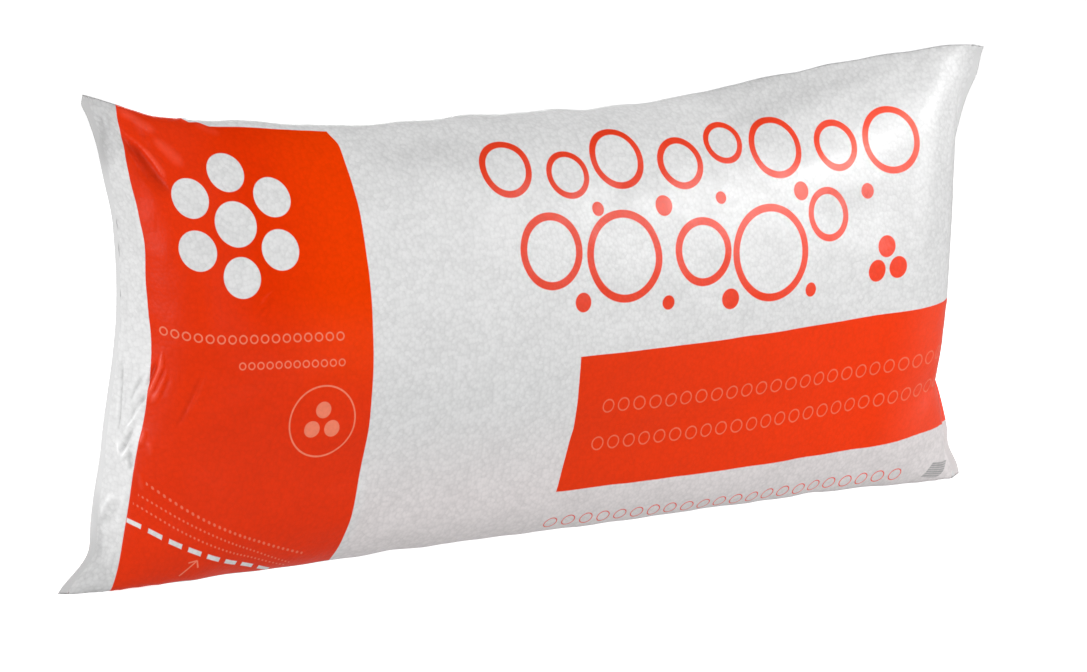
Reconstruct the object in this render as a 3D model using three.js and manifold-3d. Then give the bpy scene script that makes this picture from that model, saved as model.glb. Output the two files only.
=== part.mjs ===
// A sealed bag of expanded polystyrene beads, stood on its long bottom edge.
//
// The bag is one tube of plastic film, heat-sealed flat across both ends and
// blown out by the loose beads inside. It can't be seen into, so it is one
// closed solid: the outside of the film.
//
// Frame: millimetres, +Z up. X runs along the bag, the printed front faces -Y,
// and the bag rests on the plane z = 0, centred on the origin in X and Y.
//
// The skin is a loft. U (0 to 1) runs along the film from the left seal's edge
// to the right seal's edge, and S (0 to 1) runs up the front of the film from
// the bottom fold to the top fold. Every section is a pillow: a front half and
// a back half that meet at the two folds.
import * as THREE from 'three';
import { mergeVertices } from 'three/addons/utils/BufferGeometryUtils.js';
import Module from 'manifold-3d';

// ---- driving dimensions (mm) ------------------------------------------------
const FILM_LENGTH = 1345;      // flat length of the tube, seal edge to seal edge
const FILM_WIDTH = 615;        // flat width of the tube, fold to fold
const SEAL_BAND = 12;          // width of the flat heat-sealed band at each end
const SEAL_THICKNESS = 3;      // two layers of film welded and slightly curled
const SEAL_RAMP = 40;          // distance from the end where the bag has opened up
const FOOT = 28;               // how far the loose beads push the foot outwards
const FOOT_SPAN = 0.3;         // share of the height that the foot takes up
const BOX_CUT = 200;           // depth of the block that trims the flat base
const STATIONS = 44;           // sections along the length
const STEPS = 18;              // steps up each half of a section

// ---- section tables, one column per station U --------------------------------
const U_KNOT = [0, 0.025, 0.07, 0.15, 0.27, 0.42, 0.58, 0.73, 0.85, 0.93, 0.975, 1];
const TOP_Z = [577.6, 570.7, 552.3, 540.6, 526.1, 528.6, 529.7, 549.9, 573.2, 587.1, 591.4, 585.5];
const LOW_Z = [5.5, 0.0, -11.9, -13.2, -13.0, -13.1, -13.1, -13.0, -13.1, -10.9, -0.8, 13.0];
const HALF_DEPTH = [2.0, 32.1, 75.5, 96.9, 108.8, 113.7, 110.7, 102.8, 93.9, 81.1, 35.6, 2.6];
const ROUND_TOP = [0.9, 0.9, 1.257, 1.6, 1.5, 1.75, 1.75, 1.25, 1.0, 1.03, 1.05, 1.04];
const ROUND_LOW = [1.1, 1.25, 1.55, 1.75, 1.5, 1.35, 1.35, 1.35, 1.2, 1.25, 1.35, 1.25];
const WIDEST = [0.52, 0.515, 0.519, 0.51, 0.525, 0.53, 0.525, 0.52, 0.51, 0.52, 0.52, 0.52];
const EAR_TOP = [36.0, 24.6, 12.5, 6.0, 7.5, 3.2, -3.3, -10.6, -8.6, -3.9, 15.5, 36.7];
const EAR_LOW = [74.3, 62.4, 47.0, 39.9, 33.1, 11.1, -5.2, -17.4, -25.1, -18.3, 3.6, 18.7];
const ALONG = [-583.8, -566.5, -526.9, -428.4, -272.4, -88.1, 118.1, 320.0, 477.9, 577.2, 614.5, 625.9];
// shape of the two seal edges, up the height S
const S_KNOT = [0, 0.12, 0.3, 0.5, 0.7, 0.88, 1];
const EDGE_LEFT = [-8.7, -5.7, -10.7, 5.0, 9.6, 8.4, 1.4];
const EDGE_RIGHT = [-7.7, -8.9, -8.5, 6.2, 8.0, 7.1, 4.2];
const EDGE_REACH = 0.07;
// how far each ear of the bag leans to the front (negative) or back
const LEAN = { lowLeft: -42.5, lowRight: -45.8, topLeft: -6.5, topRight: -42.7 };
const LEAN_REACH = 0.09;
const DEPTH_REF = 121.1;

// Natural cubic spline through (xs, ys).
function spline(xs, ys) {
  const n = xs.length, h = [], m = new Array(n).fill(0);
  for (let i = 0; i < n - 1; i++) h.push(xs[i + 1] - xs[i]);
  const c = new Array(n).fill(0), d = new Array(n).fill(0);
  for (let i = 1; i < n - 1; i++) {
    const a = h[i - 1], b = 2 * (h[i - 1] + h[i]);
    const r = 6 * ((ys[i + 1] - ys[i]) / h[i] - (ys[i] - ys[i - 1]) / h[i - 1]);
    const w = b - a * c[i - 1];
    c[i] = h[i] / w;
    d[i] = (r - a * d[i - 1]) / w;
  }
  for (let i = n - 2; i > 0; i--) m[i] = d[i] - c[i] * m[i + 1];
  return (x) => {
    let i = 0;
    while (i < n - 2 && x > xs[i + 1]) i++;
    const t0 = xs[i + 1] - x, t1 = x - xs[i], k = h[i];
    return (m[i] * t0 ** 3 + m[i + 1] * t1 ** 3) / (6 * k)
      + (ys[i] / k - m[i] * k / 6) * t0 + (ys[i + 1] / k - m[i + 1] * k / 6) * t1;
  };
}
const clamp = (v, a, b) => Math.min(Math.max(v, a), b);
const smooth = (t) => { const k = clamp(t, 0, 1); return k * k * (3 - 2 * k); };

const topZ = spline(U_KNOT, TOP_Z), lowZ = spline(U_KNOT, LOW_Z);
const halfDepth = spline(U_KNOT, HALF_DEPTH), widest = spline(U_KNOT, WIDEST);
const roundTop = spline(U_KNOT, ROUND_TOP), roundLow = spline(U_KNOT, ROUND_LOW);
const earTop = spline(U_KNOT, EAR_TOP), earLow = spline(U_KNOT, EAR_LOW);
const along = spline(U_KNOT, ALONG);
const edgeLeft = spline(S_KNOT, EDGE_LEFT), edgeRight = spline(S_KNOT, EDGE_RIGHT);

// One point of the skin. side is -1 on the front and +1 on the back.
function skin(u, s, side) {
  const fromEnd = Math.min(u, 1 - u) * FILM_LENGTH;
  const open = smooth((fromEnd - SEAL_BAND) / (SEAL_RAMP - SEAL_BAND));
  const full = Math.max(halfDepth(u), 0);
  const depth = SEAL_THICKNESS / 2 + (full - SEAL_THICKNESS / 2) * open;
  // height, and the warp that puts the widest point where it belongs
  const z = lowZ(u) + (topZ(u) - lowZ(u)) * s;
  const g = Math.log(0.5) / Math.log(widest(u));
  const r = 2 * clamp(s, 1e-9, 1 - 1e-9) ** g - 1;
  const q = r > 0 ? roundTop(u) : roundLow(u);
  let out = depth * (1 - r * r) ** (1 / q);
  const t = clamp(s / FOOT_SPAN, 0, 1);
  out += FOOT * (full / DEPTH_REF) ** 1.2 * 3.5 * Math.sqrt(t) * (1 - t) ** 2 * open;
  // ears: the film runs out past the section's middle towards both folds
  const k = 2 * s - 1;
  const ear = (k > 0 ? earTop(u) : earLow(u)) * Math.abs(k) ** 2.5;
  const left = Math.exp(-((u / EDGE_REACH) ** 2)), right = Math.exp(-(((1 - u) / EDGE_REACH) ** 2));
  const x = along(u) + (u < 0.5 ? -ear : ear) + left * edgeLeft(s) + right * edgeRight(s);
  // lean of the ears
  const a = Math.exp(-((u / LEAN_REACH) ** 2)), b = Math.exp(-(((1 - u) / LEAN_REACH) ** 2));
  const lo = clamp(1 - 2 * s, 0, 1) ** 1.5, hi = clamp(2 * s - 1, 0, 1) ** 1.5;
  const lean = a * (LEAN.lowLeft * lo + LEAN.topLeft * hi) + b * (LEAN.lowRight * lo + LEAN.topRight * hi);
  return [x, side * out + lean, z];
}

// Loft of the whole skin: rings of shared vertices, closed by the two seal edges.
function loft() {
  const position = [], index = [], ring = 2 * STEPS;
  const us = [], ss = [];
  for (let i = 0; i <= STATIONS; i++) {
    const t = i / STATIONS;
    us.push(0.6 * (0.5 - 0.5 * Math.cos(Math.PI * t)) + 0.4 * t);
  }
  us.splice(1, 0, SEAL_BAND / FILM_LENGTH);
  us.splice(us.length - 1, 0, 1 - SEAL_BAND / FILM_LENGTH);
  us.sort((p, q) => p - q);
  for (let j = 0; j <= STEPS; j++) ss.push(0.5 - 0.5 * Math.cos(Math.PI * j / STEPS));
  for (const u of us) {
    for (let j = 0; j <= STEPS; j++) position.push(...skin(u, ss[j], -1));
    for (let j = STEPS - 1; j > 0; j--) position.push(...skin(u, ss[j], 1));
  }
  const at = (i, k) => i * ring + ((k % ring) + ring) % ring;
  for (let i = 0; i < us.length - 1; i++) {
    for (let k = 0; k < ring; k++) {
      const a = at(i, k), b = at(i + 1, k), c = at(i + 1, k + 1), d = at(i, k + 1);
      index.push(a, b, c, a, c, d);
    }
  }
  for (const [i, flip] of [[0, false], [us.length - 1, true]]) {
    for (let j = 0; j < STEPS; j++) {
      const a = at(i, j), b = at(i, j + 1), c = at(i, -j - 1), d = at(i, -j);
      const tris = j === 0 ? [[a, b, c]] : j === STEPS - 1 ? [[a, b, d]] : [[a, b, c], [a, c, d]];
      for (const [p, q, r] of tris) flip ? index.push(p, r, q) : index.push(p, q, r);
    }
  }
  let volume = 0;
  const P = (i) => new THREE.Vector3(position[3 * i], position[3 * i + 1], position[3 * i + 2]);
  for (let i = 0; i < index.length; i += 3) {
    volume += P(index[i]).dot(P(index[i + 1]).cross(P(index[i + 2]))) / 6;
  }
  if (volume < 0) for (let i = 0; i < index.length; i += 3) [index[i + 1], index[i + 2]] = [index[i + 2], index[i + 1]];
  const geometry = new THREE.BufferGeometry();
  geometry.setAttribute('position', new THREE.Float32BufferAttribute(position, 3));
  geometry.setIndex(index);
  return geometry;
}

const wasm = await Module();
wasm.setup();

function toSolid(geometry) {
  const g = geometry.clone();
  g.deleteAttribute('normal');
  g.deleteAttribute('uv');
  const m = mergeVertices(g, 1e-4);
  return new wasm.Manifold(new wasm.Mesh({
    numProp: 3,
    vertProperties: new Float32Array(m.attributes.position.array),
    triVerts: new Uint32Array(m.index.array),
  }));
}

function toGeometry(solid) {
  const mesh = solid.getMesh();
  const geometry = new THREE.BufferGeometry();
  geometry.setAttribute('position', new THREE.Float32BufferAttribute(mesh.vertProperties, 3));
  geometry.setIndex(Array.from(mesh.triVerts));
  geometry.computeVertexNormals();
  return geometry;
}

// The weight of the beads presses the foot flat on the plane z = 0.
const block = new THREE.BoxGeometry(2 * FILM_LENGTH, 2 * FILM_WIDTH, BOX_CUT);
block.translate(0, 0, -BOX_CUT / 2);
const bag = toGeometry(toSolid(loft()).subtract(toSolid(block)));

const film = new THREE.MeshStandardMaterial({ color: 0xdcd9d8, roughness: 0.38, metalness: 0 });
const part = new THREE.Group();
const filledBag = new THREE.Mesh(bag, film);
filledBag.name = 'filled_bag';
part.add(filledBag);

export default part;
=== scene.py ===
"""Looks of a sealed film bag of polystyrene beads, standing on its long bottom edge.

The bag is one film tube with a heat-sealed band at each end. Its mesh is laid out in
film coordinates, u along the tube and v around it, in metres, and the same
coordinates place the print, the bead relief and the creases.
"""
import math

import bpy
import numpy as np
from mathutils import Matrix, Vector


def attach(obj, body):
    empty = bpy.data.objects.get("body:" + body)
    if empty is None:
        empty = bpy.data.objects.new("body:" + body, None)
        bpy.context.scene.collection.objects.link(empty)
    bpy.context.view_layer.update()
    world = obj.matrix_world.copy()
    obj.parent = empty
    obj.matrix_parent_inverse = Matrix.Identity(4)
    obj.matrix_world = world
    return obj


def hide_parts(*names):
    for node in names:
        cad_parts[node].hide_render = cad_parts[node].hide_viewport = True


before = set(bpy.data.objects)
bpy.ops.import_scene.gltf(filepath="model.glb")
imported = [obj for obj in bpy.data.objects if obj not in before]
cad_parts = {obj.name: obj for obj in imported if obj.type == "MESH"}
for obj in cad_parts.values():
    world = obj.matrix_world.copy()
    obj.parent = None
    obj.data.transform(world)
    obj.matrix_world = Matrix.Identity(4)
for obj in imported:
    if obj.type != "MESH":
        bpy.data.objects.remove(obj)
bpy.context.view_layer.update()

# ---------------------------------------------------------------- the camera
CAM_POS = Vector((-2.0417, -3.4183, 0.9062))
CAM_AIM = Vector((0.0081, 0.0019, 0.2430))
cam_data = bpy.data.cameras.new("camera")
cam_data.sensor_width = 36.0
cam_data.lens = 3200.0 * 36.0 / 1087.0
cam_data.clip_end = 200.0
cam = bpy.data.objects.new("camera", cam_data)
bpy.context.scene.collection.objects.link(cam)
cam.location = CAM_POS
cam.rotation_euler = (CAM_AIM - CAM_POS).to_track_quat("-Z", "Y").to_euler()
bpy.context.scene.camera = cam

# ------------------------------------------------- the skin, as the CAD has it
FILM_L, FILM_W = 1.345, 0.615
SEAL_BAND, SEAL_RAMP, SEAL_HALF = 0.012, 0.040, 0.0006
FOOT, FOOT_SPAN, DEPTH_REF = 28.0, 0.3, 121.1
U_KNOT = [0, 0.025, 0.07, 0.15, 0.27, 0.42, 0.58, 0.73, 0.85, 0.93, 0.975, 1]
TABLE = {
    "top": [577.6, 570.7, 552.3, 540.6, 526.1, 528.6, 529.7, 549.9, 573.2, 587.1, 591.4, 585.5],
    "low": [5.5, 0.0, -11.9, -13.2, -13.0, -13.1, -13.1, -13.0, -13.1, -10.9, -0.8, 13.0],
    "depth": [2.0, 32.1, 75.5, 96.9, 108.8, 113.7, 110.7, 102.8, 93.9, 81.1, 35.6, 2.6],
    "q_top": [0.9, 0.9, 1.257, 1.6, 1.5, 1.75, 1.75, 1.25, 1.0, 1.03, 1.05, 1.04],
    "q_low": [1.1, 1.25, 1.55, 1.75, 1.5, 1.35, 1.35, 1.35, 1.2, 1.25, 1.35, 1.25],
    "widest": [0.52, 0.515, 0.519, 0.51, 0.525, 0.53, 0.525, 0.52, 0.51, 0.52, 0.52, 0.52],
    "ear_top": [36.0, 24.6, 12.5, 6.0, 7.5, 3.2, -3.3, -10.6, -8.6, -3.9, 15.5, 36.7],
    "ear_low": [74.3, 62.4, 47.0, 39.9, 33.1, 11.1, -5.2, -17.4, -25.1, -18.3, 3.6, 18.7],
    "along": [-583.8, -566.5, -526.9, -428.4, -272.4, -88.1, 118.1, 320.0, 477.9, 577.2, 614.5, 625.9],
}
S_KNOT = [0, 0.12, 0.3, 0.5, 0.7, 0.88, 1]
EDGE_LEFT = [-8.7, -5.7, -10.7, 5.0, 9.6, 8.4, 1.4]
EDGE_RIGHT = [-7.7, -8.9, -8.5, 6.2, 8.0, 7.1, 4.2]
LEAN = (-42.5, -45.8, -6.5, -42.7)


def spline(xs, ys, x):
    """Natural cubic spline through (xs, ys), at the points x."""
    xs, ys, x = np.array(xs, float), np.array(ys, float), np.asarray(x, float)
    n, h = len(xs), np.diff(xs)
    a = np.zeros((n, n)); r = np.zeros(n)
    a[0, 0] = a[-1, -1] = 1
    for i in range(1, n - 1):
        a[i, i - 1:i + 2] = h[i - 1], 2 * (h[i - 1] + h[i]), h[i]
        r[i] = 6 * ((ys[i + 1] - ys[i]) / h[i] - (ys[i] - ys[i - 1]) / h[i - 1])
    m = np.linalg.solve(a, r)
    i = np.clip(np.searchsorted(xs, x, side="right") - 1, 0, n - 2)
    t0, t1, k = xs[i + 1] - x, x - xs[i], h[i]
    return (m[i] * t0 ** 3 + m[i + 1] * t1 ** 3) / (6 * k) + (ys[i] / k - m[i] * k / 6) * t0 + (ys[i + 1] / k - m[i + 1] * k / 6) * t1


def smooth(t):
    t = np.clip(t, 0, 1)
    return t * t * (3 - 2 * t)


def skin(U, S, side):
    """Points of the front (side -1) or back (+1) half, in metres, for stations U and heights S."""
    T = {k: spline(U_KNOT, v, U)[:, None] for k, v in TABLE.items()}
    U, S = U[:, None], S[None, :]
    full = np.maximum(T["depth"], 0)
    open_ = smooth((np.minimum(U, 1 - U) * FILM_L - SEAL_BAND) / (SEAL_RAMP - SEAL_BAND))
    seal = SEAL_HALF * 1000
    depth = seal + (full - seal) * open_
    z = T["low"] + (T["top"] - T["low"]) * S
    r = 2 * np.clip(S, 1e-9, 1 - 1e-9) ** (math.log(0.5) / np.log(T["widest"])) - 1
    out = depth * (1 - r * r) ** (1 / np.where(r > 0, T["q_top"], T["q_low"]))
    t = np.clip(S / FOOT_SPAN, 0, 1)
    out = out + FOOT * (full / DEPTH_REF) ** 1.2 * 3.5 * np.sqrt(t) * (1 - t) ** 2 * open_
    k = 2 * S - 1
    ear = np.where(k > 0, T["ear_top"], T["ear_low"]) * np.abs(k) ** 2.5
    x = T["along"] + np.where(U < 0.5, -ear, ear)
    x = x + np.exp(-(U / 0.07) ** 2) * spline(S_KNOT, EDGE_LEFT, S) + np.exp(-((1 - U) / 0.07) ** 2) * spline(S_KNOT, EDGE_RIGHT, S)
    a, b = np.exp(-(U / 0.09) ** 2), np.exp(-((1 - U) / 0.09) ** 2)
    lo, hi = np.clip(1 - 2 * S, 0, 1) ** 1.5, np.clip(2 * S - 1, 0, 1) ** 1.5
    y = side * out + a * (LEAN[0] * lo + LEAN[2] * hi) + b * (LEAN[1] * lo + LEAN[3] * hi)
    return np.stack([x + 0 * y, y, np.maximum(z + 0 * y, 0)], -1) / 1000


# coarse film grid: NU steps along, NV steps up each face; rings of 2*NV points
NU, NV = 164, 75
M = 2 * NV
DU, DV = FILM_L / NU, FILM_W / NV


def film_grid():
    U = np.linspace(0, 1, NU + 1)
    S = 0.5 - 0.5 * np.cos(np.linspace(0, math.pi, 241))
    halves = []
    for side in (-1, 1):
        P = skin(U, S, side)
        d = np.linalg.norm(np.diff(P, axis=1), axis=2)
        s = np.concatenate([np.zeros((NU + 1, 1)), np.cumsum(d, 1)], 1)
        s /= s[:, -1:]
        t = np.linspace(0, 1, NV + 1)
        halves.append(np.stack([np.stack([np.interp(t, s[i], P[i, :, c]) for c in range(3)], -1) for i in range(NU + 1)]))
    front, back = halves
    return np.concatenate([front, back[:, -2:0:-1]], 1)


def normals(P):
    """Unit normals of the film grid, pointing out of the bag."""
    du = np.gradient(P, axis=0)
    dv = np.roll(P, -1, 1) - np.roll(P, 1, 1)
    n = np.cross(du, dv)
    return n / np.maximum(np.linalg.norm(n, axis=2, keepdims=True), 1e-12)


def relax(P0, steps):
    """Lets the film find its own length: edges go towards their flat length, the beads
    hold the film out, and what is too long buckles into wrinkles."""
    rng = np.random.default_rng(7)
    N0 = normals(P0)
    P = P0 + N0 * rng.normal(0, 0.0006, P0.shape[:2])[..., None]
    i = np.arange(NU + 1)
    fromend = np.minimum(i, NU - i) * DU
    free = smooth((fromend - 0.010) / 0.020)[:, None, None]
    keep = 1.0 - free
    diag = math.hypot(DU, DV)

    def pair(A, B, rest, ks, kc):
        d = B - A
        l = np.sqrt(np.einsum("...i,...i->...", d, d)) + 1e-12
        e = (l - rest) / l
        e = np.where(e > 0, e * ks, e * kc)
        return d * (0.5 * e)[..., None]

    for it in range(steps):
        for s in (0, 1):                                    # along the film
            A, B = P[s:-1:2][: (NU + 1 - s) // 2], P[s + 1::2]
            n = min(len(A), len(B)); c = pair(A[:n], B[:n], DU, 0.9, 0.35)
            P[s:s + 2 * n:2] += c; P[s + 1:s + 1 + 2 * n:2] -= c
        for s in (0, 1):                                    # around the film
            Q = np.roll(P, -s, 1)
            c = pair(Q[:, ::2], Q[:, 1::2], DV, 0.9, 0.35)
            Q[:, ::2] += c; Q[:, 1::2] -= c
            P = np.roll(Q, s, 1)
        for s in (0, 1):                                    # both diagonals
            Q = np.roll(P, -1, 1)
            n = (NU + 1 - s) // 2
            A, B = P[s:s + 2 * n:2], Q[s + 1:s + 1 + 2 * n:2]
            c = pair(A, B, diag, 0.3, 0.12)
            P[s:s + 2 * n:2] += c
            R = np.zeros_like(P); R[s + 1:s + 1 + 2 * n:2] -= c
            P += np.roll(R, 1, 1)
            Q = np.roll(P, 1, 1)
            A, B = P[s:s + 2 * n:2], Q[s + 1:s + 1 + 2 * n:2]
            c = pair(A, B, diag, 0.3, 0.12)
            P[s:s + 2 * n:2] += c
            R = np.zeros_like(P); R[s + 1:s + 1 + 2 * n:2] -= c
            P += np.roll(R, -1, 1)
        # a little bending stiffness
        L = np.zeros_like(P)
        L[1:-1] += P[2:] + P[:-2] - 2 * P[1:-1]
        L += np.roll(P, 1, 1) + np.roll(P, -1, 1) - 2 * P
        P += 0.045 * L * free
        # the beads: firm against going in, soft against coming out
        D = P - P0
        h = np.einsum("...i,...i->...", D, N0)[..., None]
        T = D - h * N0
        h = np.where(h < 0, h * 0.80, h * 0.985)
        P = P0 + (h * N0 + T * 0.985) * free + 0 * keep
        P[..., 2] = np.maximum(P[..., 2], 0)
    return P


def cubic(P, t, wrap):
    """Rows of P at the fractional positions t, by Catmull-Rom interpolation."""
    i = np.floor(t).astype(int)
    n = len(P)
    if not wrap:
        i = np.minimum(i, n - 2)
    f = (t - i)[:, None, None]
    if wrap:
        a, b, c, d = (P[(i + k) % n] for k in (-1, 0, 1, 2))
    else:
        Q = np.concatenate([2 * P[:1] - P[1:2], P, 2 * P[-1:] - P[-2:-1]])
        a, b, c, d = (Q[i + k] for k in (0, 1, 2, 3))
    return b + 0.5 * f * (c - a + f * (2 * a - 5 * b + 4 * c - d + f * (3 * (b - c) + d - a)))


BASE = film_grid()
FILM = BASE.copy()
R = relax(BASE, 500)
D = R - BASE
l = np.linalg.norm(D, axis=2, keepdims=True)
FILM = BASE + D * np.minimum(1, 0.011 / np.maximum(l, 1e-9))

# the fine grid: 300 steps along the film, closer together near the ends, and 320 around,
# closest together on the front where the left end is pinched
FINE_U, FINE_V, FRONT_V = 300, 320, 196
x = np.linspace(0, FILM_L, 4001)
gap = 6.4 - 4.3 * smooth((0.21 - x) / 0.07) - 3.8 * smooth((x - 1.19) / 0.06)
c = np.concatenate([[0], np.cumsum(0.5 / gap[1:] + 0.5 / gap[:-1])])
at_u = np.interp(np.linspace(0, c[-1], FINE_U + 1), c, x)
y = np.linspace(0, FILM_W, 4001)
gap = 3.9 - 1.8 * smooth((y - 0.135) / 0.03) * smooth((0.335 - y) / 0.03)
c = np.concatenate([[0], np.cumsum(0.5 / gap[1:] + 0.5 / gap[:-1])])
at_v = np.concatenate([np.interp(np.linspace(0, c[-1], FRONT_V + 1), c, y)[:-1], FILM_W + np.arange(FINE_V - FRONT_V) * FILM_W / (FINE_V - FRONT_V)])
FILM = cubic(FILM, at_u / FILM_L * NU, False)
FILM = cubic(FILM.transpose(1, 0, 2), at_v / FILM_W * NV, True).transpose(1, 0, 2)

# ---------------------------------------------------- creases, in film coordinates
fu = at_u[:, None] * 1000
fv = at_v[None, :] * 1000


def crease(points, width, height, sharp=2.0, open_ends=(0.0, 0.0), taper=0.55):
    """A ridge (height > 0) or groove along a path in film coordinates, all in mm. It fades
    towards both ends, or runs out at full height where open_ends says 1. width is its half
    width, and taper is how much narrower it is at its ends."""
    p = np.array(points, float)
    best = np.full((fu.size, fv.size), 1e9)
    along = np.zeros_like(best)
    seg = np.linalg.norm(np.diff(p, axis=0), axis=1)
    total, done = seg.sum(), 0.0
    for a, b, l in zip(p[:-1], p[1:], seg):
        t = np.clip(((fu - a[0]) * (b[0] - a[0]) + (fv - a[1]) * (b[1] - a[1])) / l ** 2, 0, 1)
        d = np.hypot(fu - a[0] - t * (b[0] - a[0]), fv - a[1] - t * (b[1] - a[1]))
        near = d < best
        best = np.where(near, d, best)
        along = np.where(near, (done + t * l) / total, along)
        done += l
    w = width * (1 - taper + taper * np.sin(math.pi * np.clip(along, 0.0, 1.0)))
    fade = smooth(along / 0.3 + open_ends[0]) * smooth((1 - along) / 0.3 + open_ends[1])
    return height * fade * np.exp(-(best / w) ** sharp)


def facet(points, width, height, side):
    """A fold with one flank only: the film falls away on one side of the path (side +1 or
    -1) and comes back slowly. width is the distance to its deepest place."""
    p = np.array(points, float)
    best = np.full((fu.size, fv.size), 1e9)
    along = np.zeros_like(best)
    turn = np.zeros_like(best)
    seg = np.linalg.norm(np.diff(p, axis=0), axis=1)
    total, done = seg.sum(), 0.0
    for a, b, l in zip(p[:-1], p[1:], seg):
        t = np.clip(((fu - a[0]) * (b[0] - a[0]) + (fv - a[1]) * (b[1] - a[1])) / l ** 2, 0, 1)
        d = np.hypot(fu - a[0] - t * (b[0] - a[0]), fv - a[1] - t * (b[1] - a[1]))
        near = d < best
        best = np.where(near, d, best)
        along = np.where(near, (done + t * l) / total, along)
        turn = np.where(near, (b[0] - a[0]) * (fv - a[1]) - (b[1] - a[1]) * (fu - a[0]), turn)
        done += l
    fade = smooth(along / 0.35) * smooth((1 - along) / 0.35)
    return height * fade * np.where(turn * side > 0, best / width * np.exp(1 - best / width), 0)


def creases():
    h = np.zeros((fu.size, fv.size))
    # the pinch half way up the left end, with folds that fan out of it
    for path, width, height in [
        ([(60, 266), (56.9, 257.6), (52.5, 245.3), (45.7, 234.5), (40.6, 220), (37, 212)], 3.0, -3.7),
        ([(60, 256), (56.4, 248.7), (50.7, 240.3), (44.5, 224.9), (37.9, 209.2), (34, 201)], 3.4, 3.4),
        ([(47.5, 219), (45.4, 212.6), (42, 202.9), (35.3, 183.4), (33, 177)], 2.8, -3.2),
        ([(47, 198), (43.4, 190.3), (36.8, 175.1), (34, 169)], 2.8, 2.9),
        ([(27.6, 198), (28.4, 193.3), (29.4, 186), (33.5, 178.9), (36, 174)], 3.4, 2.6),
        ([(43.5, 190), (45.1, 185.3), (47, 177), (48.4, 170), (49, 162)], 3.0, -2.3),
        ([(56, 288), (52.9, 280.3), (46.1, 266.3), (38.8, 245.6), (36, 238)], 2.6, -2.1),
        ([(51, 268), (45.3, 254), (39.5, 237.1)], 3.2, 1.2),
        ([(74, 322), (73.2, 310.2), (72.9, 297.1), (67.8, 280.4), (63.4, 266.1), (60.5, 256.6), (57, 246)], 3.4, 2.6),
        ([(68.5, 306), (66.4, 292), (61.2, 273.1), (57.5, 262)], 3.2, -2.0),
        ([(77, 304), (76, 290), (70.4, 270), (66, 256)], 2.8, -1.5),
        ([(80, 296), (78.1, 285.6), (72.8, 271.2), (67.8, 256.6), (64, 246)], 3.4, 2.0),
        ([(84, 292), (80, 274), (75, 258)], 3.4, -0.8),
        ([(61, 218), (59.6, 210.5), (57.4, 202.3), (55, 194)], 3.2, 1.2),
        ([(67, 206), (69, 196), (70, 184)], 3.2, 0.8),
        ([(57, 168), (61, 152), (65, 140)], 3.2, 0.8),
        ([(32.2, 252), (32.8, 238), (33, 226)], 2.0, -0.7),
        ([(124, 310), (121.6, 300), (112, 272), (100.7, 242), (92, 222)], 3.4, -1.1),
        ([(128, 306), (117, 272), (105, 240)], 3.6, 0.7),
        ([(222, 398), (206.3, 382.4), (195.6, 371.2), (188, 364)], 3.8, -0.7),
        ([(218, 401), (203, 387), (190, 372)], 3.8, 0.7),
        # lower left ear
        ([(6, 92), (16, 108), (28, 134)], 6.0, 1.8),
        ([(18, 88), (27, 106), (36, 128)], 6.0, -1.5),
        ([(4, 108), (10, 70), (16, 30)], 7.0, 1.5),
        ([(30, 60), (40, 88), (44, 120)], 9.0, -0.7),
    ]:
        h += crease(path, width, height)
    # the thin line where the film is doubled beside the left seal
    h += crease([(20, 300), (20.8, 288.6), (23.6, 263), (25.8, 233), (27.8, 194.3)], 2.0, -2.5, 1.6, (0.2, 0.2))
    # upper left ear: a flank that falls away to the end, its edge, and broad soft ridges
    line = [(40, 589), (50.9, 579), (67.7, 567), (75.9, 560), (84.1, 547.7), (91.9, 533.3), (100, 512), (106, 494)]
    h += facet(line, 9.0, -2.3, -1)
    h += crease(line[:-1], 4.0, 1.5, 1.5)
    h += crease([(70, 566), (84, 549), (96, 524)], 8.5, 0.9)
    h += crease([(88, 584), (105.8, 564.8), (116, 552.7), (127, 538)], 10.0, 1.5)
    h += crease([(78, 574), (94, 556), (108, 536)], 7.0, -0.7)
    h += crease([(40, 612), (50.3, 608), (68.9, 600.6), (84.3, 594.3), (108, 589)], 9.0, 1.5)
    h += crease([(48, 596), (70, 586), (92, 578)], 7.0, -0.7)
    h += crease([(150, 606), (167.1, 595.6), (177.6, 588.7), (190, 580)], 8.0, 0.8)
    h += crease([(138, 612), (152, 612)], 8, 1.8)
    # right end: a broad fold out of the upper ear
    h += crease([(1320, 590), (1238, 536), (1121, 500), (960, 470)], 30, 2.2)
    h += crease([(1250, 602), (1120, 588), (980, 564), (880, 548)], 20, -1.1)
    h += crease([(1010, 440), (1090, 430), (1180, 445)], 30, -1.2)
    # pleats out of both seals, stronger on the back
    rng = np.random.default_rng(11)
    for end in (0, 1):
        for face in (0, 1):
            n = 11
            for k in range(n):
                v = (k + 0.5 + rng.uniform(-0.35, 0.35)) * 615 / n
                l = rng.uniform(35, 120)
                lean = (307 - v) / 307 * rng.uniform(0.1, 0.45)
                amp = rng.uniform(0.5, 1.4) * rng.choice([-1, 1, 1])
                w = rng.uniform(5.5, 10)
                if face == 0:
                    amp *= 0.28 if end == 0 else 0.45
                a, b = (11, v), (11 + l, v + lean * l)
                if end:
                    a, b = (1345 - a[0], a[1]), (1345 - b[0], b[1])
                if face:
                    a, b = (a[0], 1230 - a[1]), (b[0], 1230 - b[1])
                h += crease([a, b], w, amp, 1.7, (1, 0), 0.3)
    return h


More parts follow.
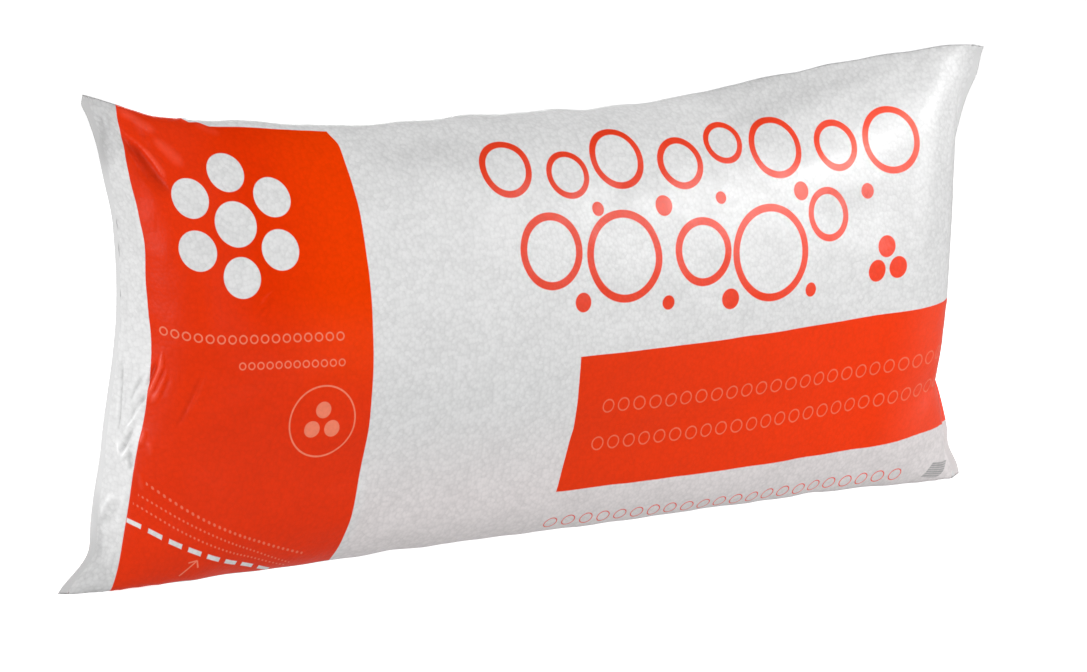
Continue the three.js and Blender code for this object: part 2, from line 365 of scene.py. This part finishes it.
def hills(size, seed):
    """Soft random undulation over the film, of about one unit, with hills about size mm apart."""
    rng = np.random.default_rng(seed)
    h = np.zeros((fu.size, fv.size))
    for k in range(26):
        a, ph = rng.uniform(0, 2 * math.pi), rng.uniform(0, 2 * math.pi)
        n = max(1, round(abs(math.sin(a)) * 1230 / size)) * (1 if math.sin(a) > 0 else -1)
        h += np.cos(2 * math.pi * (fu * math.cos(a) / size * rng.uniform(0.7, 1.3) + fv * n / 1230) + ph)
    return h / math.sqrt(13)


N = normals(FILM)
from_end = np.minimum(fu, 1345 - fu)
folds = creases() * smooth((from_end - 8) / 12)
# a pleat pulls the right side in, front and back together at the seal
pinch = crease([(1335, 147), (1271, 151), (1205, 163)], 27, -6.5, 1.2, (1, 0)) * smooth((1345 - fu - 12) / 30)
FILM[..., 0] -= 0.009 * np.exp(-(np.abs(np.minimum(fv, 1230 - fv) - 149) / 26) ** 1.3) * np.exp(-((1345 - fu) / 48) ** 2)
lift = folds + pinch + hills(85, 3) * 0.55 * smooth(from_end / 60) + hills(38, 5) * 0.14 * smooth(from_end / 30)
FILM = FILM + N * (lift / 1000)[..., None]
# the crown of the bag stands a little higher towards the right
FILM[..., 2] += 0.0026 * np.exp(-((fu - 1010) / 110) ** 2) * np.exp(-((fv - 615) / 150) ** 2)
# between the ears the welded band at the left end is folded back along its inner edge
mid = np.minimum(np.minimum(fv, 1230 - fv), 615)
turn = math.radians(58) * smooth((mid - 70) / 110) * smooth((560 - mid) / 110)
hang = np.maximum(19 - fu, 0) / 1000
FILM[..., 0] += hang * (1 - np.cos(turn))
FILM[..., 1] += hang * np.sin(turn)
# tips of the ears, drawn in or out
for end, v, reach, cut, near in ((0, 615, 16, 2.0, 0.5), (0, 615, 8, 4.0, 0.6), (0, 602, 9, -2.4, 0.6), (0, 628, 9, -2.4, 0.6), (0, 0, 26, -7.0, 0.5), (0, 50, 28, 9.0, 0.8), (0, 1180, 28, 9.0, 0.8),
                                 (1, 615, 16, -0.5, 0.5), (1, 576, 26, -6.0, 0.6), (1, 654, 26, -6.0, 0.6), (1, 0, 26, -4.5, 0.5), (1, 0, 8, 2.0, 0.5), (1, 38, 17, 5.0, 0.7), (1, 1192, 17, 5.0, 0.7)):
    d = np.hypot((fu if end == 0 else 1345 - fu) * near, np.minimum(np.abs(fv - v), 1230 - np.abs(fv - v)))
    FILM[..., 0] += (1 if end == 0 else -1) * cut / 1000 * np.exp(-(d / reach) ** 2)
FILM[..., 2] -= 0.006 * np.exp(-((1345 - fu) / 45) ** 2) * np.exp(-(np.minimum(fv, 1230 - fv) / 30) ** 2)
FILM[..., 2] = np.maximum(FILM[..., 2], 0.0)


def make_bag(P):
    nu, m = P.shape[:2]
    verts = P.reshape(-1, 3)
    i, k = np.meshgrid(np.arange(nu - 1), np.arange(m), indexing="ij")
    k1 = (k + 1) % m
    quads = np.stack([i * m + k, (i + 1) * m + k, (i + 1) * m + k1, i * m + k1], -1).reshape(-1, 4)
    # film coordinates of the corners
    rows = np.append(at_v, 2 * FILM_W)
    cu = at_u[np.stack([i, i + 1, i + 1, i], -1).reshape(-1, 4)]
    cv = rows[np.stack([k, k, k + 1, k + 1], -1).reshape(-1, 4)]
    faces = [tuple(q) for q in quads.tolist()]
    uv = [np.stack([cu, cv], -1).reshape(-1, 2)]
    # both ends are closed by a strip between the front edge and the back edge of the film
    back_n = m - FRONT_V
    for row, flip in ((0, False), (nu - 1, True)):
        o = row * m
        f, b = 0, 0
        while f < FRONT_V or b < back_n:
            here, there = o + f, o + (m - b) % m
            if b == back_n or (f < FRONT_V and at_v[f + 1] <= 2 * FILM_W - rows[m - b - 1]):
                loop, vs = [here, here + 1, there], [at_v[f], at_v[f + 1], at_v[f]]
                f += 1
            else:
                nxt = o + m - b - 1
                loop, vs = [here, nxt, there], [at_v[f]] * 3
                b += 1
            if len(set(loop)) < 3:
                continue
            if flip:
                loop, vs = loop[::-1], vs[::-1]
            faces.append(tuple(loop))
            uv.append(np.array([[at_u[row], x] for x in vs]))
    me = bpy.data.meshes.new("bead_bag")
    me.from_pydata(verts.tolist(), [], faces)
    layer = me.uv_layers.new(name="film")
    layer.data.foreach_set("uv", np.concatenate(uv).astype(np.float32).ravel())
    fold = me.attributes.new("fold", "FLOAT", "POINT")
    fold.data.foreach_set("value", np.clip(folds, -3, 3).astype(np.float32).ravel())
    me.polygons.foreach_set("use_smooth", np.ones(len(me.polygons), bool))
    me.update()
    ob = bpy.data.objects.new("bead_bag", me)
    bpy.context.scene.collection.objects.link(ob)
    return ob


bag = make_bag(FILM)

# ------------------------------------------------------------- node building
class Graph:
    """Small helper for node maths: numbers stay numbers, sockets stay sockets."""

    def __init__(self, tree):
        self.t = tree

    def node(self, kind, **inputs):
        n = self.t.nodes.new(kind)
        return n

    def put(self, socket, value):
        if hasattr(value, "is_output"):
            self.t.links.new(value, socket)
        else:
            socket.default_value = value

    def math(self, op, a, b=None, c=None):
        n = self.t.nodes.new("ShaderNodeMath")
        n.operation = op
        for s, v in zip(n.inputs, (a, b, c)):
            if v is not None:
                self.put(s, v)
        return n.outputs[0]

    def vec(self, op, a, b=None, out=0):
        n = self.t.nodes.new("ShaderNodeVectorMath")
        n.operation = op
        self.put(n.inputs[0], a)
        if b is not None:
            self.put(n.inputs[1], b)
        return n.outputs[out]

    def union(self, shapes):
        shapes = list(shapes)
        while len(shapes) > 1:
            shapes = [self.math("MINIMUM", *shapes[i:i + 2]) if i + 1 < len(shapes) else shapes[i] for i in range(0, len(shapes), 2)]
        return shapes[0]

    def map(self, x, a, b, c, d, smoothstep=False):
        n = self.t.nodes.new("ShaderNodeMapRange")
        n.interpolation_type = "SMOOTHSTEP" if smoothstep else "LINEAR"
        n.clamp = True
        self.put(n.inputs[0], x)
        for s, v in zip(list(n.inputs)[1:5], (a, b, c, d)):
            s.default_value = v
        return n.outputs[0]

    def mix(self, fac, a, b):
        n = self.t.nodes.new("ShaderNodeMix")
        n.data_type = "RGBA"
        self.put(n.inputs[0], fac)
        self.put(n.inputs[6], a)
        self.put(n.inputs[7], b)
        return n.outputs[2]


def film_material():
    mat = bpy.data.materials.new("printed_film")
    mat.use_nodes = True
    t = mat.node_tree
    t.nodes.clear()
    g = Graph(t)
    out = t.nodes.new("ShaderNodeOutputMaterial")
    bsdf = t.nodes.new("ShaderNodeBsdfPrincipled")
    t.links.new(bsdf.outputs[0], out.inputs[0])
    tc = t.nodes.new("ShaderNodeTexCoord")
    mm = g.vec("MULTIPLY", tc.outputs["UV"], (1000.0, 1000.0, 0.0))
    sep = t.nodes.new("ShaderNodeSeparateXYZ")
    t.links.new(mm, sep.inputs[0])
    u0, v0 = sep.outputs[0], sep.outputs[1]
    # the back carries the same print as the front, turned about the top fold
    back = g.math("GREATER_THAN", v0, 615.0)
    v = g.math("MINIMUM", v0, g.math("SUBTRACT", 1230.0, v0))
    u = g.math("ABSOLUTE", g.math("SUBTRACT", g.math("MULTIPLY", back, 1345.0), u0))
    comb = t.nodes.new("ShaderNodeCombineXYZ")
    t.links.new(u, comb.inputs[0]); t.links.new(v, comb.inputs[1])
    p = comb.outputs[0]

    def box(ua, ub, va, vb):
        du = g.math("SUBTRACT", g.math("ABSOLUTE", g.math("SUBTRACT", u, (ua + ub) / 2)), (ub - ua) / 2)
        dv = g.math("SUBTRACT", g.math("ABSOLUTE", g.math("SUBTRACT", v, (va + vb) / 2)), (vb - va) / 2)
        return g.math("MAXIMUM", du, dv)

    def disc(cu, cv, r):
        return g.math("SUBTRACT", g.vec("DISTANCE", p, (cu, cv, 0.0), out=1), r)

    def ring(cu, cv, r, w):
        return g.math("SUBTRACT", g.math("ABSOLUTE", disc(cu, cv, r)), w / 2)

    def bar(a, b, w):
        """A straight bar with square-ish ends from a to b, w wide."""
        a, b = np.array(a, float), np.array(b, float)
        c, d = (a + b) / 2, (b - a)
        l = float(np.hypot(*d)); d = d / l
        q = g.vec("SUBTRACT", p, (c[0], c[1], 0.0))
        x = g.math("ABSOLUTE", g.vec("DOT_PRODUCT", q, (d[0], d[1], 0.0), out=1))
        y = g.math("ABSOLUTE", g.vec("DOT_PRODUCT", q, (-d[1], d[0], 0.0), out=1))
        return g.math("MAXIMUM", g.math("SUBTRACT", x, l / 2), g.math("SUBTRACT", y, w / 2))

    def bell(x, centre, width):
        t = g.math("DIVIDE", g.math("SUBTRACT", x, centre), width)
        return g.math("EXPONENT", g.math("MULTIPLY", g.math("MULTIPLY", t, t), -1.0))

    def step(x, a, b):
        return g.map(x, a, b, 0.0, 1.0, True)

    def row(ua, ub, v0, slope, period, r, w=None):
        """A row of small rings, or of discs, along a sloping line."""
        y = g.math("SUBTRACT", g.math("SUBTRACT", v, v0), g.math("MULTIPLY", g.math("SUBTRACT", u, ua), slope))
        x = g.math("SUBTRACT", g.math("FLOORED_MODULO", g.math("SUBTRACT", u, ua), period), period / 2)
        d = g.math("SUBTRACT", g.math("SQRT", g.math("ADD", g.math("MULTIPLY", x, x), g.math("MULTIPLY", y, y))), r)
        if w is not None:
            d = g.math("SUBTRACT", g.math("ABSOLUTE", d), w / 2)
        return g.math("MAXIMUM", d, g.math("SUBTRACT", g.math("ABSOLUTE", g.math("SUBTRACT", u, (ua + ub) / 2)), (ub - ua) / 2))

    EDGE = 0.5
    cover = lambda s: g.map(s, -EDGE, EDGE, 1.0, 0.0)

    # fields of red: the end panel, with its slightly stretched left edge, and the long banner
    left = g.math("ADD", 47.5, g.math("ADD", g.math("MULTIPLY", bell(v, 285.0, 110.0), 13.5), g.math("MULTIPLY", bell(v, 525.0, 32.0), -4.0)))
    left = g.math("ADD", left, g.math("ADD", g.math("MULTIPLY", bell(v, 440.0, 32.0), 5.0), g.math("MULTIPLY", bell(v, 0.0, 50.0), 11.0)))
    right = g.math("SUBTRACT", 343.0, g.math("ADD", g.math("MULTIPLY", bell(v, 110.0, 90.0), 2.5), g.math("MULTIPLY", step(v, 572.0, 600.0), 8.0)))
    top = g.math("ADD", 597.0, g.math("ADD", g.math("MULTIPLY", step(u, 176.0, 160.0), 9.0), g.math("MULTIPLY", step(u, 150.0, 130.0), 14.0)))
    low = g.math("MULTIPLY", step(u, 70.0, 150.0), 42.0)
    panel = g.math("MAXIMUM", g.math("MAXIMUM", g.math("SUBTRACT", left, u), g.math("SUBTRACT", u, right)),
                   g.math("MAXIMUM", g.math("SUBTRACT", v, top), g.math("SUBTRACT", low, v)))

    def sag(start, k, u_at):
        t = g.math("SUBTRACT", u, u_at)
        return g.math("SUBTRACT", start, g.math("MULTIPLY", g.math("MULTIPLY", t, t), k))

    slant = g.math("ADD", 653.0, g.math("MULTIPLY", g.map(v, 190.0, 104.0, 0.0, 1.0), -14.0))
    under = g.math("ADD", sag(107.6, 0.000042, 640.0), g.math("SUBTRACT", g.math("MULTIPLY", bell(u, 1236.0, 46.0), 8.0), g.math("MULTIPLY", step(u, 1285.0, 1337.0), 14.0)))
    end = g.math("SUBTRACT", 1352.0, g.math("MULTIPLY", back, 30.0))
    banner = g.math("MAXIMUM", g.math("MAXIMUM", g.math("SUBTRACT", slant, u), g.math("SUBTRACT", u, end)),
                    g.math("MAXIMUM", g.math("SUBTRACT", v, sag(284.3, 0.00005, 810.0)), g.math("SUBTRACT", under, v)))
    # a loose scatter of beads, in outline and solid, and a thin row of them low down
    shapes = [panel, banner, row(632.0, 1226.0, 59.0, -0.022, 27.0, 9.0, 1.4)]
    shapes += [ring(*x) for x in RINGS] + [disc(*x) for x in DOTS]
    ink = cover(g.union(shapes))
    # shapes left open in the red: a rosette of beads and the cutting line
    from_dash = g.math("SUBTRACT", u, 58.3)
    curve = g.math("ADD", 101.8, g.math("MULTIPLY", from_dash, g.math("ADD", -0.13, g.math("MULTIPLY", from_dash, -0.00076))))
    dash = g.math("SUBTRACT", g.math("ABSOLUTE", g.math("SUBTRACT", v, curve)), g.map(u, 60.0, 220.0, 2.7, 3.1))
    beat = g.math("SUBTRACT", g.math("ABSOLUTE", g.math("SUBTRACT", g.math("FLOORED_MODULO", g.math("SUBTRACT", u, 44.7), 27.2), 13.6)), 9.0)
    dash = g.math("MAXIMUM", g.math("MAXIMUM", dash, beat), g.math("SUBTRACT", u, 266.0))
    holes = cover(g.union([disc(*x) for x in ROSETTE] + [dash]))
    thin = [ring(*BADGE)] + [disc(*x) for x in BADGE_DOTS] + [bar(a, b, 1.8) for a, b in ARROW]
    thin += [row(68.0, 306.0, 341.0, 0.0, 14.0, 4.6, 1.7), row(166.0, 306.0, 310.0, 0.0, 11.7, 3.9, 1.5)]
    thin = cover(g.union(thin))
    faint = cover(g.union([row(690.0, 1290.0, 216.0, -0.02, 24.0, 8.2, 1.8), row(682.0, 1282.0, 166.0, -0.008, 24.0, 8.2, 1.8)]))
    # three rows of specks that follow the cutting line
    specks = []
    for start, v_at, k1, k2, period, r in ((64.0, 154.4, -0.369, 0.0, 7.4, 1.9), (56.0, 137.6, -0.24, -0.00055, 5.8, 1.35), (51.0, 125.7, -0.24, -0.0004, 5.8, 1.35)):
        q = g.math("SUBTRACT", u, start)
        y = g.math("SUBTRACT", g.math("SUBTRACT", v, v_at), g.math("MULTIPLY", q, g.math("ADD", k1, g.math("MULTIPLY", q, k2))))
        x = g.math("SUBTRACT", g.math("FLOORED_MODULO", q, period), period / 2)
        d = g.math("SUBTRACT", g.math("SQRT", g.math("ADD", g.math("MULTIPLY", x, x), g.math("MULTIPLY", y, y))), r)
        specks.append(g.math("MAXIMUM", d, g.math("SUBTRACT", g.math("ABSOLUTE", g.math("SUBTRACT", q, 115.0)), 112.0)))
    specks = cover(g.union(specks))
    pale = g.math("MAXIMUM", g.math("MULTIPLY", thin, 0.95), g.math("MAXIMUM", g.math("MULTIPLY", faint, 0.62), g.math("MULTIPLY", specks, 0.6)))
    ink = g.math("MULTIPLY", ink, g.math("SUBTRACT", 1.0, holes))
    # a small slanted patch of grey stripes in the lower right corner
    across = g.math("ADD", g.math("MULTIPLY", u, 0.388), g.math("SUBTRACT", g.math("MULTIPLY", v, 0.922), 527.2))
    left_of = g.math("ADD", g.math("MULTIPLY", u, -0.730), g.math("ADD", g.math("MULTIPLY", v, 0.683), 901.2))
    right_of = g.math("ADD", g.math("MULTIPLY", u, 0.213), g.math("SUBTRACT", g.math("MULTIPLY", v, -0.977), 259.0))
    code = g.math("MAXIMUM", g.math("SUBTRACT", g.math("ABSOLUTE", across), 10.6), g.math("MAXIMUM", left_of, right_of))
    wave = g.math("ADD", g.math("SINE", g.math("MULTIPLY", across, 2.2)), g.math("MULTIPLY", g.math("SINE", g.math("MULTIPLY", across, 3.7)), 0.5))
    stripe = g.map(wave, -0.6, 0.6, 0.35, 0.85)
    grey = g.math("MULTIPLY", cover(code), stripe)

    # beads behind the film: their relief, and how light each one looks
    coord = tc.outputs["UV"]
    near = t.nodes.new("ShaderNodeTexVoronoi")
    near.voronoi_dimensions = "2D"
    near.inputs["Scale"].default_value = 205.0
    t.links.new(coord, near.inputs["Vector"])
    lump = t.nodes.new("ShaderNodeTexNoise")
    lump.noise_dimensions = "2D"
    lump.inputs["Scale"].default_value = 62.0
    lump.inputs["Detail"].default_value = 2.0
    t.links.new(coord, lump.inputs["Vector"])
    wide = t.nodes.new("ShaderNodeTexNoise")
    wide.noise_dimensions = "2D"
    wide.inputs["Scale"].default_value = 14.0
    wide.inputs["Detail"].default_value = 2.0
    t.links.new(coord, wide.inputs["Vector"])
    cell = t.nodes.new("ShaderNodeSeparateColor")
    t.links.new(near.outputs["Color"], cell.inputs[0])
    round_ = t.nodes.new("ShaderNodeTexVoronoi")
    round_.voronoi_dimensions = "2D"
    round_.feature = "SMOOTH_F1"
    round_.inputs["Scale"].default_value = 205.0
    round_.inputs["Smoothness"].default_value = 0.6
    t.links.new(coord, round_.inputs["Vector"])
    d1 = near.outputs["Distance"]
    dome = g.math("SUBTRACT", 1.0, round_.outputs["Distance"])
    seal = g.math("MAXIMUM", step(u0, 13.0, 11.0), step(u0, 1332.0, 1334.0))
    rib = g.math("MULTIPLY", g.math("SINE", g.math("MULTIPLY", u0, 3.1)), g.math("MULTIPLY", seal, 0.12))
    filled = g.math("SUBTRACT", 1.0, seal)
    relief = g.math("ADD", g.math("MULTIPLY", g.math("ADD", g.math("MULTIPLY", dome, 0.55), g.math("MULTIPLY", cell.outputs[1], 0.18)), filled),
                    g.math("ADD", g.math("MULTIPLY", lump.outputs["Fac"], 0.9), rib))
    bump = t.nodes.new("ShaderNodeBump")
    bump.inputs["Strength"].default_value = 0.4
    bump.inputs["Distance"].default_value = 0.0008
    t.links.new(relief, bump.inputs["Height"])
    t.links.new(bump.outputs[0], bsdf.inputs["Normal"])

    # tone: beads lighter and darker at random, with painted shade in the gaps between them;
    # painted shade in the grooves of the folds, painted highlight on their ridges, and painted shade on the flat ears
    fold = t.nodes.new("ShaderNodeAttribute")
    fold.attribute_name = "fold"
    groove_shade_mask = g.map(fold.outputs["Fac"], -2.5, -0.2, 1.0, 0.0)
    ridge_highlight_mask = g.map(fold.outputs["Fac"], 0.3, 2.4, 0.0, 1.0)
    # painted shade in the fold grooves, up to 30 % darker, and painted highlight on the fold ridges, up to 17 % lighter
    groove = g.math("ADD", g.math("MULTIPLY", groove_shade_mask, -0.30), g.math("MULTIPLY", ridge_highlight_mask, 0.17))

    # painted shade: the film's tone darker towards a corner of the film, by up to depth
    def ear(at_u, at_v, reach, depth):
        q = g.vec("MULTIPLY", g.vec("SUBTRACT", p0, (at_u, at_v, 0.0)), (1.0, 0.72, 0.0))
        return g.math("MULTIPLY", g.map(g.vec("LENGTH", q, out=1), reach, reach * 0.45, 0.0, 1.0, True), -depth)

    p0 = mm
    flat = [ear(0.0, 615.0, 78.0, 0.19), ear(0.0, 0.0, 84.0, 0.20), ear(0.0, 1230.0, 84.0, 0.20), ear(1345.0, 0.0, 60.0, 0.03), ear(1345.0, 1230.0, 60.0, 0.03), ear(1345.0, 615.0, 50.0, 0.03)]
    # this sum holds the painted shade of the ears; below, the painted light and shade of the top and of the left end
    # band are added
    empty = g.math("ADD", g.math("ADD", flat[0], flat[1]), g.math("ADD", g.math("ADD", flat[2], flat[3]), g.math("ADD", flat[4], flat[5])))
    # painted light along the ridge of the top fold, up to 25 % lighter; painted shade on the right third of the top
    # and in four patches: below the top, along its right part, at the right end and at the left end
    top_light_and_shade = g.math("MULTIPLY", g.math("MULTIPLY", bell(v0, 590.0, 40.0), bell(u0, 970.0, 90.0)), -0.055)
    ridge = g.math("MULTIPLY", bell(v0, 618.0, 34.0), g.math("MULTIPLY", step(u0, 120.0, 200.0), step(u0, 960.0, 860.0)))
    top_light_and_shade = g.math("ADD", top_light_and_shade, g.math("MULTIPLY", ridge, g.math("ADD", 0.09, g.math("MULTIPLY", bell(u0, 740.0, 150.0), 0.16))))
    for a, b, k in ((bell(v0, 553.0, 22.0), bell(u0, 470.0, 95.0), -0.09),
                    (bell(v0, 612.0, 22.0), step(u0, 950.0, 1030.0), -0.08),
                    (bell(v0, 410.0, 100.0), step(u0, 1170.0, 1215.0), -0.08),
                    (bell(v0, 470.0, 70.0), step(u0, 75.0, 55.0), -0.03)):
        top_light_and_shade = g.math("ADD", top_light_and_shade, g.math("MULTIPLY", g.math("MULTIPLY", a, b), k))
    # painted light on the white band at the left end, up to 14 % lighter
    end_band_light = g.math("MULTIPLY", g.math("MULTIPLY", bell(v, 225.0, 180.0), step(u0, 75.0, 55.0)), 0.14)
    empty = g.math("ADD", empty, g.math("ADD", top_light_and_shade, end_band_light))
    # each bead a random tone, and painted shade, up to 7 % darker, in the gaps between the beads
    beads = g.math("ADD", g.math("MULTIPLY", cell.outputs[0], 0.11), g.map(d1, 0.25, 0.75, 0.0, -0.07, True))
    tone = g.math("ADD", g.math("MULTIPLY", beads, filled), g.math("ADD", 0.94, g.math("MULTIPLY", wide.outputs["Fac"], 0.05)))
    # the painted shade and highlight of the folds, and the painted light and shade of the ears, the top and the left
    # end band, go into the film's tone
    tone = g.math("ADD", tone, g.math("ADD", groove, empty))
    inked = g.mix(step(u, 480.0, 520.0), g.mix(g.math("MULTIPLY", step(u, 190.0, 320.0), step(v, 240.0, 340.0)), g.mix(wide.outputs["Fac"], RED, RED_DEEP), RED_WARM), g.mix(g.map(u, 660.0, 1120.0, 0.0, 1.0), RED_LONG_DEEP, RED_LONG))
    # painted highlight: the ink towards the right end a fifth of the way to a pale pinkish red
    inked = g.mix(g.math("MULTIPLY", step(u, 1140.0, 1240.0), 0.20), inked, RED_HIGHLIGHT)
    # painted highlight: the ink on fold ridges up to 30 % of the way to the same pale pinkish red
    inked = g.mix(g.math("MULTIPLY", ridge_highlight_mask, 0.30), inked, RED_HIGHLIGHT)
    inked = g.mix(pale, inked, PALE)
    # the ink takes the bead tone with its painted shade between beads, and the painted shade and highlight of the folds
    im = t.nodes.new("ShaderNodeVectorMath")
    im.operation = "SCALE"
    t.links.new(inked, im.inputs[0])
    t.links.new(g.math("ADD", g.math("MULTIPLY", beads, 0.5), g.math("ADD", 0.965, g.math("MULTIPLY", groove, 1.0))), im.inputs["Scale"])
    inked = im.outputs[0]
    # painted reflected light: the white film low down, right of the panel, tinted pink as if lit by light thrown back
    # from the red
    shade = g.math("MULTIPLY", step(v, 250.0, 95.0), step(u, 335.0, 360.0))
    col = g.mix(grey, g.mix(shade, WHITE, WHITE_RED_BOUNCE), (0.30, 0.30, 0.305, 1.0))
    vm = t.nodes.new("ShaderNodeVectorMath")
    vm.operation = "SCALE"
    t.links.new(col, vm.inputs[0]); t.links.new(tone, vm.inputs["Scale"])
    col = g.mix(ink, vm.outputs[0], inked)
    t.links.new(col, bsdf.inputs["Base Color"])
    rough = g.math("ADD", g.math("MULTIPLY", lump.outputs["Fac"], 0.12), g.math("ADD", g.math("MULTIPLY", ink, 0.02), 0.30))
    t.links.new(rough, bsdf.inputs["Roughness"])
    bsdf.inputs["IOR"].default_value = 1.5
    # the broad fields of ink are duller than the bare film, and the film is glossiest where
    # it is stretched tight, half way up the right part
    on_panel = g.math("ADD", 0.20, g.math("MULTIPLY", step(v, 200.0, 300.0), 0.05))
    on_panel = g.math("ADD", on_panel, g.math("MULTIPLY", g.math("MULTIPLY", step(u, 100.0, 210.0), step(v, 280.0, 400.0)), 0.11))
    on_banner = g.math("MULTIPLY", g.math("SUBTRACT", 0.25, g.math("MULTIPLY", step(u, 1170.0, 1290.0), 0.24)), step(v, 322.0, 300.0))
    right_part = step(u, 345.0, 365.0)
    dull = g.math("ADD", g.math("MULTIPLY", on_panel, g.math("SUBTRACT", 1.0, right_part)), g.math("MULTIPLY", on_banner, right_part))
    tight = g.math("MULTIPLY", g.math("MULTIPLY", bell(v, 474.0, 60.0), bell(u, 930.0, 270.0)), 0.22)
    gloss = g.math("SUBTRACT", g.math("ADD", 0.36, tight), g.math("MULTIPLY", ink, dull))
    gloss = g.math("ADD", gloss, g.math("MULTIPLY", ridge_highlight_mask, 0.25))
    t.links.new(gloss, bsdf.inputs["Specular IOR Level"])
    return mat


WHITE = (0.80, 0.80, 0.80, 1.0)
# pinkish white of the painted light reflected from the red print
WHITE_RED_BOUNCE = (0.80, 0.754, 0.754, 1.0)
RED = (0.89, 0.038, 0.0015, 1.0)
RED_DEEP = (0.855, 0.035, 0.0015, 1.0)
RED_WARM = (0.97, 0.051, 0.0008, 1.0)
RED_LONG = (1.0, 0.048, 0.004, 1.0)
RED_LONG_DEEP = (0.88, 0.043, 0.004, 1.0)
# pale pinkish red of the painted highlights on the ink
RED_HIGHLIGHT = (1.0, 0.17, 0.10, 1.0)
PALE = (1.0, 0.27, 0.16, 1.0)
RINGS = [
    (566, 521, 33, 9), (655, 507, 27, 8), (735, 525, 36, 9), (830, 512, 30, 9), (905, 532, 25, 8),
    (985, 516, 37, 9), (1083, 505, 30, 9), (1172, 500, 40, 9),
    (612, 415, 42, 10), (722, 402, 52, 10), (842, 398, 38, 10), (948, 385, 56, 10), (1050, 420, 30, 9),
]
DOTS = [
    (690, 462, 9), (790, 460, 13), (880, 462, 8), (1010, 455, 12), (1120, 440, 10), (655, 350, 12), (785, 340, 9), (880, 335, 13), (1010, 330, 9),
    (1141, 366, 14), (1124, 337, 14), (1158, 337, 14),
]
ROSETTE = [(176, 474, 27)] + [(176 + 62 * math.cos(a), 474 + 62 * math.sin(a), 24) for a in [math.radians(30 + 60 * i) for i in range(6)]]
ARROW = [((132.6, 51.4), (146.9, 75)), ((146.9, 75), (137, 71)), ((146.9, 75), (152, 65))]
BADGE = (279, 240, 43, 2.0)
BADGE_DOTS = [(279, 254, 10), (266, 231, 10), (292, 231, 10)]

bag.data.materials.append(film_material())
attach(bag, "root")
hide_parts("filled_bag")

# ------------------------------------------------------------------- the stage
me = bpy.data.meshes.new("floor")
me.from_pydata([(-40, -40, 0), (40, -40, 0), (40, 40, 0), (-40, 40, 0)], [], [(0, 1, 2, 3)])
floor = bpy.data.objects.new("floor", me)
bpy.context.scene.collection.objects.link(floor)
floor.location.z = -0.0006
floor.visible_diffuse = False
floor.visible_glossy = False
fm = bpy.data.materials.new("floor")
fm.use_nodes = True
fb = fm.node_tree.nodes["Principled BSDF"]
fb.inputs["Base Color"].default_value = (0.90, 0.90, 0.90, 1)
fb.inputs["Roughness"].default_value = 0.9
fb.inputs["Specular IOR Level"].default_value = 0.1
fb.inputs["Emission Color"].default_value = (1, 1, 1, 1)
fb.inputs["Emission Strength"].default_value = 0.82
me.materials.append(fm)

world = bpy.data.worlds.new("world")
bpy.context.scene.world = world
world.use_nodes = True
wt = world.node_tree
bg = wt.nodes["Background"]
bg.inputs["Color"].default_value = (1, 1, 1, 1)
wc = wt.nodes.new("ShaderNodeTexCoord")
glow = None
for d, k in (((0, 0, 1), 0.10), ((0, 0, -1), 0.56), ((1, 0, 0), 0.04), ((-1, 0, 0), 0.31), ((0, -1, 0), 0.23), ((0, 1, 0), 0.50)):
    dot = wt.nodes.new("ShaderNodeVectorMath")
    dot.operation = "DOT_PRODUCT"
    dot.inputs[1].default_value = [k * x for x in d]
    wt.links.new(wc.outputs["Generated"], dot.inputs[0])
    up = wt.nodes.new("ShaderNodeMath")
    up.operation = "MAXIMUM"
    up.inputs[1].default_value = 0.0
    wt.links.new(dot.outputs["Value"], up.inputs[0])
    if glow is None:
        glow = up.outputs[0]
    else:
        add = wt.nodes.new("ShaderNodeMath")
        wt.links.new(glow, add.inputs[0])
        wt.links.new(up.outputs[0], add.inputs[1])
        glow = add.outputs[0]
wt.links.new(glow, bg.inputs["Strength"])


def area(name, pos, aim, sx, sy, power, color=(1, 1, 1)):
    d = bpy.data.lights.new(name, "AREA")
    d.shape = "RECTANGLE"
    d.size, d.size_y, d.energy, d.color = sx, sy, power, color
    o = bpy.data.objects.new(name, d)
    bpy.context.scene.collection.objects.link(o)
    o.location = pos
    o.rotation_euler = (Vector(aim) - Vector(pos)).to_track_quat("-Z", "Y").to_euler()
    return o


MID = (0.0, 0.0, 0.3)
area("key", (2.4, -2.6, 1.6), MID, 0.8, 0.8, 33.0)
area("key_right", (3.0, -2.2, 1.4), MID, 0.8, 0.8, 7.5)
area("key_low", (3.2, -3.2, 0.8), MID, 0.8, 0.8, 24.8)
area("key_mid", (1.2, -2.8, 2.0), MID, 0.8, 0.8, 7.5)
area("left", (-3.4, -1.0, 0.9), MID, 1.0, 1.0, 31.5)
area("left_wide", (-3.2, -0.3, 1.4), MID, 2.2, 2.2, 14.0)
area("right", (3.2, -1.2, 0.9), MID, 1.5, 1.5, 2.5)
area("right_back", (3.6, -0.2, 0.8), MID, 1.6, 1.6, 6.0)
area("low", (0.6, -4.2, 0.5), MID, 2.4, 0.8, 21.0)
area("top", (-0.3, -0.6, 3.2), MID, 2.4, 1.2, 6.5)
area("back", (0.6, 3.6, 1.8), MID, 2.6, 1.6, 60.0)

bpy.context.scene.view_settings.view_transform = "Standard"
